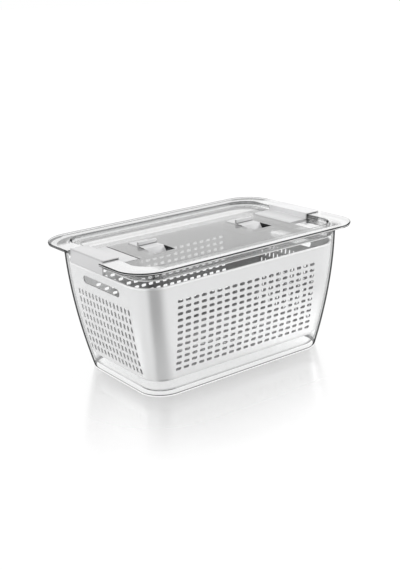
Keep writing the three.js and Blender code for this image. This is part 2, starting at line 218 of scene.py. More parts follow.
def carved(bm, tools):
    # joins and cuts, in order: ("UNION" or "DIFFERENCE", drawing)
    holder = asObject(bm, "holder")
    others = []
    for operation, drawing in tools:
        other = asObject(drawing, "tool")
        other.hide_render = True
        change = holder.modifiers.new("carve", "BOOLEAN")
        change.object, change.operation, change.solver = other, operation, "EXACT"
        others.append(other)
    return settled(holder, others)


def thickened(bm, wall):
    holder = asObject(bm, "holder")
    shell = holder.modifiers.new("wall", "SOLIDIFY")
    shell.thickness, shell.offset = wall, -1
    return settled(holder)


def addPiece(bm, name, body, material, replaced, crease=32, fixNormals=True):
    if fixNormals:
        bmesh.ops.recalc_face_normals(bm, faces=bm.faces)
    bmesh.ops.scale(bm, vec=(0.001, 0.001, 0.001), verts=bm.verts)
    piece = asObject(bm, name)
    piece.data.materials.append(material)
    piece.data.shade_smooth()
    piece.data.set_sharp_from_angle(angle=math.radians(crease))
    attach(piece, body)
    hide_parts(*replaced)
    print("piece", name, len(piece.data.polygons), "faces")


# materials

ventMiddle = 62.0  # from the middle of the lid to the middle of a vent


def newMaterial(name):
    material = bpy.data.materials.new(name)
    material.use_nodes = True
    tree = material.node_tree
    tree.nodes.clear()
    return material, tree


def node(tree, kind, inputs=None, **settings):
    made = tree.nodes.new(kind)
    for name, value in settings.items():
        setattr(made, name, value)
    for name, value in (inputs or {}).items():
        socket = made.inputs[name]
        if isinstance(value, bpy.types.NodeSocket):
            tree.links.new(value, socket)
        else:
            socket.default_value = value
    return made


def calc(tree, operation, first, second=0.0, **settings):
    return node(tree, "ShaderNodeMath", {0: first, 1: second}, operation=operation, **settings).outputs[0]


def times(tree, total, *others):
    for value in others:
        total = calc(tree, "MULTIPLY", total, value)
    return total


def blend(tree, factor, first, second):
    return node(tree, "ShaderNodeMix", {
        "Factor": factor, "A": first, "B": second}, data_type="FLOAT").outputs["Result"]


def ramp(tree, value, low, high, start=0.0, end=1.0, interpolation="LINEAR"):
    return node(tree, "ShaderNodeMapRange", {
        "Value": value, "From Min": low, "From Max": high, "To Min": start, "To Max": end},
        interpolation_type=interpolation).outputs["Result"]


def smooth(tree, value, low, high, start=0.0, end=1.0):
    return ramp(tree, value, low, high, start, end, "SMOOTHSTEP")


def split(tree, vector):
    return node(tree, "ShaderNodeSeparateXYZ", {0: vector}).outputs


def mixed(tree, share, first, second):
    return node(tree, "ShaderNodeMixShader", {0: share, 1: first.outputs[0], 2: second.outputs[0]})


def zone(tree, place, low, high, soft=0.05):
    # 1 inside a box given in millimetres and 0 outside it, with a soft edge; None leaves a side open
    sides = []
    for axis, bottom, top in zip(("X", "Y", "Z"), low, high):
        for edge, start, end in ((bottom, -soft, 0), (top, soft, 0)):
            if edge is not None:
                sides.append(ramp(tree, place[axis], (edge + start) / 1000, (edge + end) / 1000))
    return times(tree, *sides)


def spots(tree, place, rows):
    # masks with their strengths, from rows of low corner, high corner, strength and, if given, softness
    return [(zone(tree, place, low, high, *soft), strength) for low, high, strength, *soft in rows]


def combined(tree, parts):
    # the strongest of several masks, each with its own strength
    total = None
    for mask, strength in parts:
        scaled = times(tree, mask, strength)
        total = scaled if total is None else calc(tree, "MAXIMUM", total, scaled)
    return total


def ownPlace(tree):
    # object coordinates: X is mirrored to the right half, "across" isn't
    # "side" is the distance from a vent's middle, and "far" the same without its sign
    given = split(tree, node(tree, "ShaderNodeTexCoord").outputs["Object"])
    across = given["X"]
    beside = calc(tree, "SUBTRACT", across, times(tree, calc(tree, "SIGN", across), ventMiddle / 1000))
    return {
        "X": calc(tree, "ABSOLUTE", across), "Y": given["Y"], "Z": given["Z"],
        "across": across, "side": beside, "far": calc(tree, "ABSOLUTE", beside)}


def by(place, axis):
    # the same place, with another measure as its X
    return {**place, "X": place[axis]}


def outlineDistance(tree, place, outline):
    # how far a point lies outside a rounded rectangle, in metres
    halfX, halfY, radius = (size / 1000 for size in outline)
    past = [
        calc(tree, "MAXIMUM", calc(tree, "SUBTRACT", calc(tree, "ABSOLUTE", place[axis]), half - radius))
        for axis, half in (("X", halfX), ("Y", halfY))]
    level = node(tree, "ShaderNodeCombineXYZ", {"X": past[0], "Y": past[1]}).outputs[0]
    reach = node(tree, "ShaderNodeVectorMath", {0: level}, operation="LENGTH").outputs["Value"]
    return calc(tree, "SUBTRACT", reach, radius)


def mouldFinishGroup():
    # the faint waviness and dulling that moulded plastic has
    group = bpy.data.node_groups.new("mouldFinish", "ShaderNodeTree")
    for name, kind, value in (
            ("Colour", "NodeSocketColor", (0.8, 0.8, 0.8, 1)), ("Colour Change", "NodeSocketFloat", 0.02),
            ("Roughness", "NodeSocketFloat", 0.3), ("Roughness Change", "NodeSocketFloat", 0.05),
            ("Grain Size", "NodeSocketFloat", 900.0), ("Grain Depth", "NodeSocketFloat", 0.05)):
        group.interface.new_socket(name, in_out="INPUT", socket_type=kind).default_value = value
    for name, kind in (
            ("Colour", "NodeSocketColor"), ("Roughness", "NodeSocketFloat"),
            ("Normal", "NodeSocketVector")):
        group.interface.new_socket(name, in_out="OUTPUT", socket_type=kind)
    given = node(group, "NodeGroupInput").outputs
    place = node(group, "ShaderNodeTexCoord").outputs["Object"]
    flow = node(group, "ShaderNodeTexNoise", {"Vector": place, "Scale": 28.0, "Detail": 3.0})
    grain = node(group, "ShaderNodeTexNoise", {
        "Vector": place, "Scale": given["Grain Size"], "Detail": 2.0})
    swing = calc(group, "SUBTRACT", flow.outputs["Fac"], 0.5)
    level = calc(group, "ADD", times(group, swing, given["Colour Change"]), 1.0)
    colour = node(group, "ShaderNodeVectorMath", {0: given["Colour"], "Scale": level}, operation="SCALE")
    rough = calc(group, "ADD", given["Roughness"], times(group, swing, given["Roughness Change"]))
    bump = node(group, "ShaderNodeBump", {
        "Height": grain.outputs["Fac"], "Strength": given["Grain Depth"], "Distance": 0.0002})
    node(group, "NodeGroupOutput", {
        "Colour": colour.outputs[0], "Roughness": rough, "Normal": bump.outputs[0]})
    return group


mouldFinish = mouldFinishGroup()


def solidPlastic(name, form, paintedLight=None):
    # pearl is the share of satin reflection; mirrored is a painted reflection, the dimmed brightness that
    # reflections of the piece show; the optional function lays painted shade and light on its colour
    material, tree = newMaterial(name)
    finish = node(tree, "ShaderNodeGroup", node_tree=mouldFinish)
    finish.inputs["Colour"].default_value = (*form["colour"], 1)
    for key, value in form["finish"].items():
        finish.inputs[key].default_value = value
    path = node(tree, "ShaderNodeLightPath")
    shade = paintedLight(tree, ownPlace(tree)) if paintedLight else 1.0
    level = blend(tree, path.outputs["Is Glossy Ray"], shade, form.get("mirrored", 1.0))
    shown = node(tree, "ShaderNodeVectorMath", {
        0: finish.outputs["Colour"], "Scale": level}, operation="SCALE")
    shader = node(tree, "ShaderNodeBsdfPrincipled", {
        "Base Color": shown.outputs[0], "Roughness": finish.outputs["Roughness"],
        "Normal": finish.outputs["Normal"], "IOR": 1.5, "Metallic": form.get("pearl", 0.0)})
    node(tree, "ShaderNodeOutputMaterial", {"Surface": shader.outputs[0]})
    return material


def clearPlastic(name, form, paintedShade=None, paintedReflection=None, milkAndHighlight=None):
    # a clear film: it shows what is behind it and mirrors at a glance; painted shade darkens it where its
    # edges turn and along its marked lines, reflections see it at a fixed dimmed tone, a painted
    # reflection, and painted reflection and milky white can be laid on it by place
    material, tree = newMaterial(name)
    facing = node(tree, "ShaderNodeLayerWeight", {"Blend": 0.5}).outputs["Facing"]
    steep = smooth(tree, facing, *form["steep"])
    place = {**ownPlace(tree), "steep": steep}
    turn, edge = (
        node(tree, "ShaderNodeAttribute", attribute_name=layer).outputs["Fac"]
        for layer in ("turn", "edge"))
    # painted shade: darker toward its grazing rim, more at corners, and along the marked lines
    rim = smooth(tree, facing, *form["rim"])
    reach = ramp(tree, turn, 0, 1, form["flatRim"], form["cornerRim"])
    dark = calc(tree, "ADD", times(tree, rim, reach), edge, use_clamp=True)
    if paintedShade:
        dark = calc(tree, "MAXIMUM", dark, paintedShade(tree, place))
    rest = calc(tree, "SUBTRACT", 1.0, dark)
    tint = node(tree, "ShaderNodeMix", {
        "Factor": dark, "A": (*form["body"], 1), "B": (*form["edge"], 1)}, data_type="RGBA")
    path = node(tree, "ShaderNodeLightPath").outputs
    # painted reflection: reflections see the film at the fixed mirrored tone, not its own
    shown = node(tree, "ShaderNodeMix", {
        "Factor": path["Is Glossy Ray"], "A": tint.outputs["Result"], "B": (*form["mirrored"], 1)},
        data_type="RGBA")
    through = node(tree, "ShaderNodeBsdfTransparent", {"Color": shown.outputs["Result"]})
    mirror = node(tree, "ShaderNodeBsdfAnisotropic", {
        "Roughness": form["roughness"], "Color": (1, 1, 1, 1)})
    share = ramp(tree, calc(tree, "POWER", facing, 5.0), 0, 1, form["sheen"], 1.0)
    # painted reflection: the given masks set where and how brightly it mirrors
    if paintedReflection:
        strength, level = paintedReflection(tree, place)
        share = calc(tree, "MAXIMUM", share, times(tree, steep, strength))
        tree.links.new(level, mirror.inputs["Color"])
    film = mixed(tree, times(tree, share, rest), through, mirror)
    # milky white from the given masks, in places a painted highlight
    if milkAndHighlight:
        milk = node(tree, "ShaderNodeBsdfDiffuse", {"Color": (*form["milk"], 1)})
        film = mixed(tree, times(tree, milkAndHighlight(tree, place), rest), film, milk)
    soft = calc(tree, "MAXIMUM", path["Is Shadow Ray"], path["Is Diffuse Ray"])
    shade = node(tree, "ShaderNodeBsdfTransparent", {"Color": (*form["shade"], 1)})
    node(tree, "ShaderNodeOutputMaterial", {"Surface": mixed(tree, soft, film, shade).outputs[0]})
    return material


# the clear bin

binForm = {
    "rimHeight": 132.3, "uprightHeight": 135.2, "footLength": 220.5, "lengthFlare": 34.3,
    "footWidth": 132.2, "widthFlare": 32.2, "footCorner": 26.4, "cornerFlare": 3.8, "bow": 1.83,
    "wall": 2.0, "floor": 2.5, "footRadius": 2.2, "heelRadius": 7.5, "heelSteps": 8,
    "rim": (132.3, 86.7, 30.0), "rimThickness": 2.1, "rimEdge": 0.9,
    "catchLength": 54.0, "catchDepth": 3.7, "catchInset": 0.2, "cornerSteps": 20, "wallSteps": 26,
    # the marks are painted shade: dark lines on the foot, heel, rim, lip and catch of the clear bin;
    # innerBend is how far the painted rim shade reaches inside
    "footMarks": (0.9, 0.9, 0.9, 0.95, 0.95, 0.1), "heelMark": 0.55, "rimMark": 0.5, "lipMark": 0.15,
    "catchMark": 0.1, "innerBend": 0.4,
}
# edge is the colour of the painted dark lines, rim, flatRim and cornerRim shape the painted rim shade, and
# mirrored is the dimmed tone reflections see, a painted reflection
clearFilm = {
    "steep": (0.4, 0.64), "rim": (0.62, 0.73), "flatRim": 0.03, "cornerRim": 0.9,
    "body": (0.99, 0.992, 0.992), "edge": (0.10, 0.103, 0.106), "mirrored": (0.85, 0.85, 0.85),
    "roughness": 0.03, "sheen": 0.04, "shade": (0.97, 0.97, 0.97), "milk": (0.9, 0.9, 0.9),
}
binPlastic = clearPlastic("binPlastic", clearFilm)


def wallOutline(z, inward=0.0):
    form = binForm
    rise = 1 - (1 - z / form["uprightHeight"]) ** form["bow"]
    return (
        (form["footLength"] + form["lengthFlare"] * rise) / 2 - inward,
        (form["footWidth"] + form["widthFlare"] * rise) / 2 - inward,
        form["footCorner"] + form["cornerFlare"] * rise - inward)


def wallRows(low, high, steps, inward, *look):
    heights = [low + (high - low) * i / steps for i in range(1, steps + 1)]
    return [(wallOutline(z, inward), z, *look) for z in heights]


footAngles = range(15, 91, 15)


def wallFoot(low, inward, radius, angles, looks):
    # rows of a rounded foot that follow the wall's own curve
    rows = []
    for angle, look in zip(angles, looks):
        turn = math.radians(angle)
        z = low + radius * (1 - math.cos(turn))
        rows.append((wallOutline(z, inward + radius * (1 - math.sin(turn))), z, *look))
    return rows


def drawBin():
    form = binForm
    top, wall, edge, lip = form["rimHeight"], form["wall"], form["rimEdge"], form["lipMark"]
    underRim, rim = top - form["rimThickness"], form["rim"]
    bm = newDrawing()
    start = wallOutline(0, form["footRadius"])
    edges = startLoop(bm, start, 0, form["cornerSteps"])
    foot = wallFoot(0, 0, form["footRadius"], footAngles, [(mark,) for mark in form["footMarks"]])
    outside = wallRows(form["footRadius"], underRim - 1.2, form["wallSteps"], 0, 0)
    rimRows = [
        (wallOutline(underRim, -0.5), underRim - 0.3, lip), (wallOutline(underRim, -1.4), underRim, 0.1),
        *arc(rim, underRim, (0, 22.5, 45, 67.5, 90), -edge, edge, form["rimMark"]),
        *arc(rim, top, (90, 68, 45, 23, 0), -edge, -edge, form["rimMark"]),
        (wallOutline(top, wall - 0.7), top, lip), (wallOutline(top - 0.2, wall - 0.2), top - 0.2, lip),
        (wallOutline(top - 0.7, wall), top - 0.7, 0.1),
    ]
    bend, steps = form["innerBend"], form["heelSteps"]
    inside = wallRows(top - 0.7, form["floor"] + form["heelRadius"], form["wallSteps"], wall, 0, bend)
    angles = [90 - 90 * i / steps for i in range(1, steps + 1)]
    # painted shade: the heel's dark line, strongest halfway round the fillet
    marks = [form["heelMark"] * math.sin(2 * math.radians(a)) ** 3 for a in angles]
    heel = wallFoot(form["floor"], wall, form["heelRadius"], angles, [(mark, bend) for mark in marks])
    heel.append((grown(heel[-1][0], -0.5), form["floor"], 0, 0))
    edges = climb(bm, edges, start, [*foot, *outside, *rimRows, *inside, *heel])
    bmesh.ops.contextual_create(bm, geom=edges)
    catchX, depth = wallOutline(underRim)[0] - wall / 2, form["catchDepth"]
    face = rim[0] - form["catchInset"]
    rib = prism([
        (catchX, underRim - depth), (rim[0] - depth / 2, underRim - depth),
        (face, underRim - depth / 2), (face, underRim + edge), (catchX, underRim + edge),
    ], form["catchLength"], "Y")
    soften(rib, 0.5, 2)
    markAll(rib, form["catchMark"])
    other = flipped(rib.copy())
    joinIn(bm, rib)
    joinIn(bm, other)
    return bm


addPiece(drawBin(), "bin_shell", "bin", binPlastic, ["bin"])


# the strainer basket

basketForm = {
    "inward": 3.9, "wall": 1.3, "height": 115.0, "underside": 14.0, "heelRadius": 5.0,
    "cornerSteps": 18, "wallSteps": 24, "margin": 0.9, "beadReach": 0.6, "beadDepth": 2.6, "beadRoot": 0.6,
    "pegRadii": (4.0, 5.0), "pegs": (70.0, 30.0), "pegTip": 2.8, "pegRoot": 0.6,
    "handSlot": {"length": 67.0, "height": 8.2, "middle": 102.4, "room": (76.0, 15.0), "step": 4.0},
}
slotFields = {
    "long": {"columns": 19, "rows": 12, "pitch": (9.2, 6.445), "middle": 61.55, "slot": (6.4, 3.2)},
    "short": {"columns": 15, "rows": 8, "pitch": (6.586, 8.814), "middle": 55.65, "slot": (3.2, 6.2)},
    "floor": {"columns": 17, "rows": 11, "pitch": (9.2, 7.6), "middle": 0.0, "slot": (6.1, 2.9)},
}
# painted shade and light on the basket: darker inner faces, a painted lit place, darker floor and slot
# walls, a brighter rim
basketPaintedShade = {
    "innerHeights": (0.072, 0.088), "innerDark": (0.7, 0.16), "liftPlaces": (-0.074, -0.062), "lift": 0.04,
    "lit": ((None, 0.0, 55.0), (-74.0, None, 95.0), 8), "litFactor": -3.0,
    "floor": 0.5, "floorTop": 19.0, "slot": 0.42, "slotReach": 0.0885, "slotHeights": (19.5, 110.0),
    "endTurn": 1.6, "endStretch": 1.752, "rimStart": 113.2, "rim": 0.2,
}


def paintBasketShade(tree, place):
    # painted shade and light: the inner faces are darker the lower they lie, less so at the back left,
    # where a painted lit place makes them brighter; the floor's top and the slots' own walls are darker,
    # and the rim is bright, a painted highlight
    form = basketPaintedShade
    coordinates = node(tree, "ShaderNodeTexCoord").outputs
    outward = node(tree, "ShaderNodeVectorMath", {
        0: coordinates["Object"], 1: (1, 1, 0)}, operation="MULTIPLY").outputs[0]
    turned = node(tree, "ShaderNodeVectorMath", {
        0: outward, 1: coordinates["Normal"]}, operation="DOT_PRODUCT").outputs["Value"]
    lift = ramp(tree, place["across"], *form["liftPlaces"], form["lift"], 0)
    height = calc(tree, "ADD", place["Z"], lift)
    depth = smooth(tree, height, *form["innerHeights"], *form["innerDark"])
    lit = zone(tree, by(place, "across"), *form["lit"])
    depth = times(tree, depth, ramp(tree, lit, 0, 1, 1.0, form["litFactor"]))
    level = calc(tree, "SUBTRACT", 1.0, times(tree, calc(tree, "LESS_THAN", turned, -0.01), depth))

    faces = split(tree, coordinates["Normal"])
    floor = times(
        tree, ramp(tree, faces["Z"], 0.3, 0.6),
        zone(tree, place, (None, None, None), (None, None, form["floorTop"]), 1.0))
    span = calc(tree, "ABSOLUTE", place["Y"])
    onLong = calc(tree, "GREATER_THAN", times(tree, span, form["endTurn"]), place["X"])
    flat = blend(tree, onLong, calc(tree, "ABSOLUTE", faces["X"]), calc(tree, "ABSOLUTE", faces["Y"]))
    along = blend(tree, onLong, times(tree, span, form["endStretch"]), place["X"])
    low, high = form["slotHeights"]
    slot = times(
        tree, calc(tree, "LESS_THAN", flat, 0.6), calc(tree, "LESS_THAN", along, form["slotReach"]),
        zone(tree, place, (None, None, low), (None, None, high)))
    rim = zone(tree, place, (None, None, form["rimStart"]), (None, None, None), 0.3)
    level = times(
        tree, level, ramp(tree, floor, 0, 1, 1.0, form["floor"]),
        ramp(tree, slot, 0, 1, 1.0, form["slot"]))
    return calc(tree, "ADD", level, times(tree, rim, form["rim"]))


# mirrored: reflections see the basket dimmed, a painted reflection
basketPlastic = solidPlastic("basketPlastic", {
    "colour": (0.9, 0.9, 0.903), "pearl": 0.45, "mirrored": 0.78,
    "finish": {"Roughness": 0.2, "Grain Size": 1400.0, "Grain Depth": 0.02}}, paintBasketShade)


def wallDepth(across, z, isLong):
    # how far out the basket's outer face lies, rounded corners included
    halfX, halfY, radius = wallOutline(z, basketForm["inward"])
    half, reach = (halfX, halfY) if isLong else (halfY, halfX)
    past = max(0.0, abs(across) - (half - radius))
    return reach - radius + math.sqrt(max(0.0, radius * radius - past * past))


def slotCell(pitch, slot, sides=16):
    # a plate with one round-ended slot in it
    bm = newDrawing()
    bmesh.ops.create_grid(bm, x_segments=1, y_segments=1, size=0.5)
    bmesh.ops.delete(bm, geom=bm.faces[:], context="FACES_ONLY")
    bmesh.ops.scale(bm, vec=(pitch[0], pitch[1], 1), verts=bm.verts)
    bmesh.ops.subdivide_edges(bm, edges=bm.edges[:], cuts=sides // 4 - 1)
    radius = min(slot) / 2
    ring = bmesh.ops.create_circle(bm, cap_ends=False, segments=sides, radius=radius)["verts"]
    longWay = 0 if slot[0] > slot[1] else 1
    for v in ring:
        if abs(v.co[longWay]) > tolerance["zero"]:
            v.co[longWay] += math.copysign(max(slot) / 2 - radius, v.co[longWay])
    bmesh.ops.bridge_loops(bm, edges=bm.edges[:])
    return bm


def slotPanel(field):
    bm = slotCell(field["pitch"], field["slot"])
    wide, high = field["pitch"]
    for count, step in ((field["columns"], (wide, 0, 0)), (field["rows"], (0, high, 0))):
        bmesh.ops.spin(
            bm, geom=bm.verts[:] + bm.edges[:] + bm.faces[:], cent=(0, 0, 0), axis=(0, 0, 1),
            dvec=step, angle=0, steps=count - 1, use_duplicate=True)
        moved(bm, Vector(step) * (1 - count) / 2)
        bmesh.ops.remove_doubles(bm, verts=bm.verts, dist=0.01)
    return bm


def panelPlace(name, side):
    # turns a point into (across, up, whether it lies on this wall)
    underside, depth = basketForm["underside"], 2.0
    isLong = name == "long"

    def onFloor(co):
        return co.x, co.y, co.z < underside + 0.05

    def onWall(co):
        across, out = (co.x, co.y) if isLong else (co.y, co.x)
        isNear = out * side > 0 and co.z > underside
        return across, co.z, isNear and abs(out) > wallDepth(across, co.z, isLong) - depth

    return onFloor if name == "floor" else onWall


def cutWindow(bm, window):
    # cuts the wall along the four sides of a window
    name, low, high, place = window["wall"], window["low"], window["high"], window["place"]
    across = {"floor": (1, 0, 0), "long": (1, 0, 0), "short": (0, 1, 0)}[name]
    up = (0, 1, 0) if name == "floor" else (0, 0, 1)
    for at, normal in ((low[0], across), (high[0], across), (low[1], up), (high[1], up)):
        near = [f for f in bm.faces if place(f.calc_center_median())[2]]
        geom = near + list({e for f in near for e in f.edges}) + list({v for f in near for v in f.verts})
        bmesh.ops.bisect_plane(
            bm, geom=geom, dist=0.02, plane_co=Vector(normal) * at, plane_no=normal)


def openWindow(bm, window):
    low, high, place = window["low"], window["high"], window["place"]

    def within(face):
        across, up, isThis = place(face.calc_center_median())
        return isThis and low[0] < across < high[0] and low[1] < up < high[1]

    bmesh.ops.delete(bm, geom=[f for f in bm.faces if within(f)], context="FACES")


def fillWindow(bm, window):
    # sets a panel in its window and fills the seam round it
    low, high, place, side = window["low"], window["high"], window["place"], window["side"]

    def nearest(point, margin):
        # how far a point of the wall lies from a frame inside the window
        across, up, isThis = point
        return min(
            abs(across - low[0] - margin), abs(across - high[0] + margin),
            abs(up - low[1] - margin), abs(up - high[1] + margin))

    def onFrame(co, slack=0.05):
        across, up, isThis = point = place(co)
        return (
            isThis and low[0] - slack <= across <= high[0] + slack
            and low[1] - slack <= up <= high[1] + slack and nearest(point, 0) < slack)

    def frameEdges():
        return [e for e in bm.edges if e.is_boundary and all(onFrame(v.co) for v in e.verts)]

    for e in [e for e in frameEdges() if e.calc_length() > 1.5 * window["step"]]:
        cuts = max(1, round(e.calc_length() / window["step"]) - 1)
        bmesh.ops.subdivide_edges(bm, edges=[e], cuts=cuts)
    hole = frameEdges()
    before = set(bm.edges)
    panel = window["panel"]()
    for v in panel.verts:
        across, up = v.co.x, v.co.y + window["middle"]
        if window["wall"] == "floor":
            v.co = (across, up, basketForm["underside"])
        elif window["wall"] == "long":
            v.co = (across, side * wallDepth(across, up, True), up)
        else:
            v.co = (side * wallDepth(across, up, False), across, up)
    joinIn(bm, panel)
    seam = basketForm["margin"]
    inner = [
        e for e in bm.edges if e not in before and e.is_boundary
        and all(nearest(place(v.co), seam) < 0.02 for v in e.verts)]
    bmesh.ops.triangle_fill(bm, edges=hole + inner, use_beauty=False, use_dissolve=False)


def basketWindows():
    hand, margin = basketForm["handSlot"], basketForm["margin"]
    plans = []
    for name, sides in (("long", (-1, 1)), ("short", (-1, 1)), ("floor", (0,))):
        field = slotFields[name]
        wide, high = field["pitch"]
        half = (field["columns"] * wide / 2, field["rows"] * high / 2)
        for side in sides:
            plans.append((
                name, side, half, field["middle"], wide / 2, lambda field=field: slotPanel(field)))
    half = (hand["room"][0] / 2, hand["room"][1] / 2)
    for side in (-1, 1):
        plans.append((
            "short", side, half, hand["middle"], hand["step"],
            lambda: slotCell(hand["room"], (hand["length"], hand["height"]), 48)))
    return [{
        "wall": name, "side": side, "middle": middle, "step": step, "panel": panel,
        "low": (-half[0] - margin, middle - half[1] - margin),
        "high": (half[0] + margin, middle + half[1] + margin),
        "place": panelPlace(name, side)} for name, side, half, middle, step, panel in plans]


def drawBasket():
    form = basketForm
    radius, inward, floor = form["heelRadius"], form["inward"], form["underside"]
    bm = newDrawing()
    start = wallOutline(floor, inward + radius)
    edges = startLoop(bm, start, floor, form["cornerSteps"])
    heel = wallFoot(floor, inward, radius, footAngles, [(0,)] * len(footAngles))
    walls = wallRows(floor + radius, form["height"] - 0.2, form["wallSteps"], inward, 0)
    climb(bm, edges, start, [*heel, *walls])

    windows = basketWindows()
    for change in (cutWindow, openWindow, fillWindow):
        for window in windows:
            change(bm, window)
    bmesh.ops.remove_doubles(bm, verts=bm.verts, dist=0.03)
    bmesh.ops.dissolve_degenerate(bm, edges=bm.edges, dist=0.01)
    bmesh.ops.recalc_face_normals(bm, faces=bm.faces)
    if sum(f.normal.z * f.calc_area() for f in bm.faces) > 0:
        bmesh.ops.reverse_faces(bm, faces=bm.faces)
    bm = thickened(bm, form["wall"])

    # the bead under the rim's outer edge
    top, face, root = form["height"], inward - form["beadReach"], form["beadRoot"]
    low = top - form["beadDepth"]
    joinIn(bm, closedRing(wallOutline(low, inward + root), low, form["cornerSteps"], [
        (wallOutline(low, face + 0.3), low, 0), (wallOutline(low, face), low + 0.3, 0),
        (wallOutline(top, face), top - 0.4, 0), (wallOutline(top, face + 0.12), top - 0.12, 0),
        (wallOutline(top, face + 0.4), top, 0), (wallOutline(top, inward + root), top, 0),
    ]))

    reach = floor + form["pegRoot"] - form["pegTip"]
    tipRadius, rootRadius = form["pegRadii"]
    for x in (-form["pegs"][0], form["pegs"][0]):
        for y in (-form["pegs"][1], form["pegs"][1]):
            peg = newDrawing()
            bmesh.ops.create_cone(
                peg, cap_ends=True, segments=28, radius1=tipRadius, radius2=rootRadius, depth=reach)
            soften(peg, 0.5, 2, 60)
            joinIn(bm, moved(peg, (x, y, form["pegTip"] + reach / 2)))
    return bm


addPiece(
    drawBasket(), "strainer_basket_shell", "basket", basketPlastic,
    ["strainer_basket"], fixNormals=False)


# the lid, its seal, its latches and its vents

lidForm = {
    "flange": (140.0, 92.6, 32.0), "top": 135.2, "thickness": 2.6, "edge": 0.8,
    "skirtOutside": (121.785, 76.586, 24.585), "skirtWall": 2.2, "skirtBottom": 121.5,
    "ledge": 1.4, "ledgeHeight": 1.2, "panelTop": 130.4, "panelThickness": 2.0, "cornerSteps": 20,
    "topFillet": 0.9, "panelFillet": 1.3, "skirtFillet": 0.8,
    # the marks are painted shade: dark lines on the clear lid's bosses, pockets, flange edges, recess and
    # skirt
    "bossMark": 0.06, "pocketMark": 0.1, "underMark": (0.0, 0.2), "edgeMark": (0.2, 0.4),
    "overMark": 0.1, "recessMark": 0.14, "skirtMark": (0.2, 0.75), "skirtFaceMark": (0.0, 0.06),
}
lidRecess = grown(lidForm["skirtOutside"], -lidForm["skirtWall"])
latchForm = {
    "width": 60.0, "hinge": (97.585, 128.4), "barrel": 2.6, "pin": 0.9, "pinReach": 1.6,
    "tabTop": 131.0, "tab": 2.2, "riserOuter": 118.785, "riser": 1.5, "stripUnder": 135.5,
    "strip": 1.4, "shoulder": 136.0, "flap": 1.6, "flare": 0.6, "drop": 14.0,
    "hookTip": 132.9, "hook": 1.7, "ramp": 1.3, "round": 0.45,
    "gap": 0.5, "backGap": 0.7, "pocketFloor": 1.6, "pocketEnd": 1.8, "pocketSide": 2.5,
}
ventForm = {
    "place": ventMiddle, "width": 22.0, "sideGap": 0.6, "endGap": 0.7, "back": 24.4, "crease": 6.0,
    "tongue": 4.5, "drop": 6.4, "plate": 1.6, "top": 131.0, "barFront": 6.0, "bar": 2.6,
    "barHeight": 4.0, "pivot": (7.3, 127.6), "barrel": 1.7, "pin": 0.9, "pinReach": 1.6,
    "floorGap": 0.8, "wellWall": 2.0, "wellFloor": 1.8, "scoop": 13.6, "hole": (13.0, 8.0, 1.5),
    "round": 0.35, "padMargin": 1.6, "padThickness": 1.4,
}
pinHole = {"play": 0.15, "room": 0.6}

# where the lid carries painted shade, milky white with painted highlights, and painted reflections: low
# corner, high corner, strength and softness
# None leaves a side open; the lines have first how far they reach in from their outline
lidPaintedShade = {
    "ventSides": [
        ((11.5, -24.8, 123.5), (11.75, -5.0, 130.4), 1.0),
        ((-11.75, -12.5, 128.0), (-11.5, -4.0, 130.4), 0.9)],
    "wellSides": [((11.5, -6.5, 129.4), (11.75, 25.2, 130.3), 0.6)],
    "pockets": [
        ((94.1, -30.6, 128.8), (94.5, 30.6, 130.3), 0.8),
        ((94.1, 30.4, 128.8), (119.0, 30.6, 130.3), 0.6),
        ((94.1, -30.6, 128.8), (119.0, -30.4, 130.3), 0.6)],
    "flange": [
        (0.7, (None, None, 134.3), (None, 40.0, 135.15), 0.92),
        (0.7, (None, 40.0, 134.5), (None, None, 135.15), 0.85),
        (0.5, (None, -20.0, None), (None, None, 133.3), 0.9),
        (0.7, (112.0, None, 131.0), (None, None, 133.4), 1.0)],
    "underFlange": (3.2, (112.0, None, 131.0), (None, None, 132.7)),
    "recess": [
        (1.6, (None, None, 134.1), (None, None, 134.9), 0.55),
        (1.6, (None, None, 132.2), (None, None, 132.7), 0.25),
        (1.2, (None, None, 127.2), (None, None, 128.2), 0.3)],
    "ring": ((None, 0.0, 130.3), (None, None, 130.6), 20), "ringDark": 0.4,
    "ringReach": ((-0.0108, -0.0101), (-0.0082, -0.0089)), "lineSoft": 0.1, "lineFade": 0.3,
}
lidMilkAndPaintedHighlight = {
    "wells": [((None, -27.5, 121.0), (14.0, 27.5, 130.0), 0.5, 0.2)],
    "pockets": [((92.0, -33.5, 123.0), (119.0, 33.5, 130.0), 0.16, 0.2)],
    "skirtReach": (-0.002, -0.0015), "flangeReach": (-0.0007, -0.0004),
    "skirt": [
        ((None, None, 121.3), (None, None, 122.8), 0.9, 0.1),
        ((None, None, 122.8), (None, None, 134.0), 0.1, 0.2)],
    "flange": [((None, None, 132.7), (None, -20.0, 134.2), 0.5, 0.2)],
}
lidPaintedReflection = {
    "front": ((None, None, None), (None, 0, None), 30), "frontReach": (-0.0095, -0.0065),
    "ends": ((118.0, None, None), (None, 50.0, None), 14),
    "leftEnd": ((None, None, None), (-112.0, 50.0, None), 14), "endReach": (-0.0006, -0.0011),
    "flangeTop": ((None, None, 135.1), (None, None, None)), "flange": 0.88,
    "panelTop": ((None, None, 130.3), (None, None, 130.5)), "panel": 0.74,
    # painted reflection: the panel mirrors dimmed and, in two patches on its right half, brighter than the
    # studio
    "panelDimming": (-0.07, 0.04, 0.42, 0.34), "panelBack": (0.041, 0.044, 1, 0),
    "paintedGlints": [
        ((95.0, -66.0, None), (117.0, -39.0, None), 0.85, 2),
        ((56.0, -66.0, None), (66.0, -46.0, None), 0.35, 4)],
    "glintShare": 0.9, "glintLight": 0.67,
}
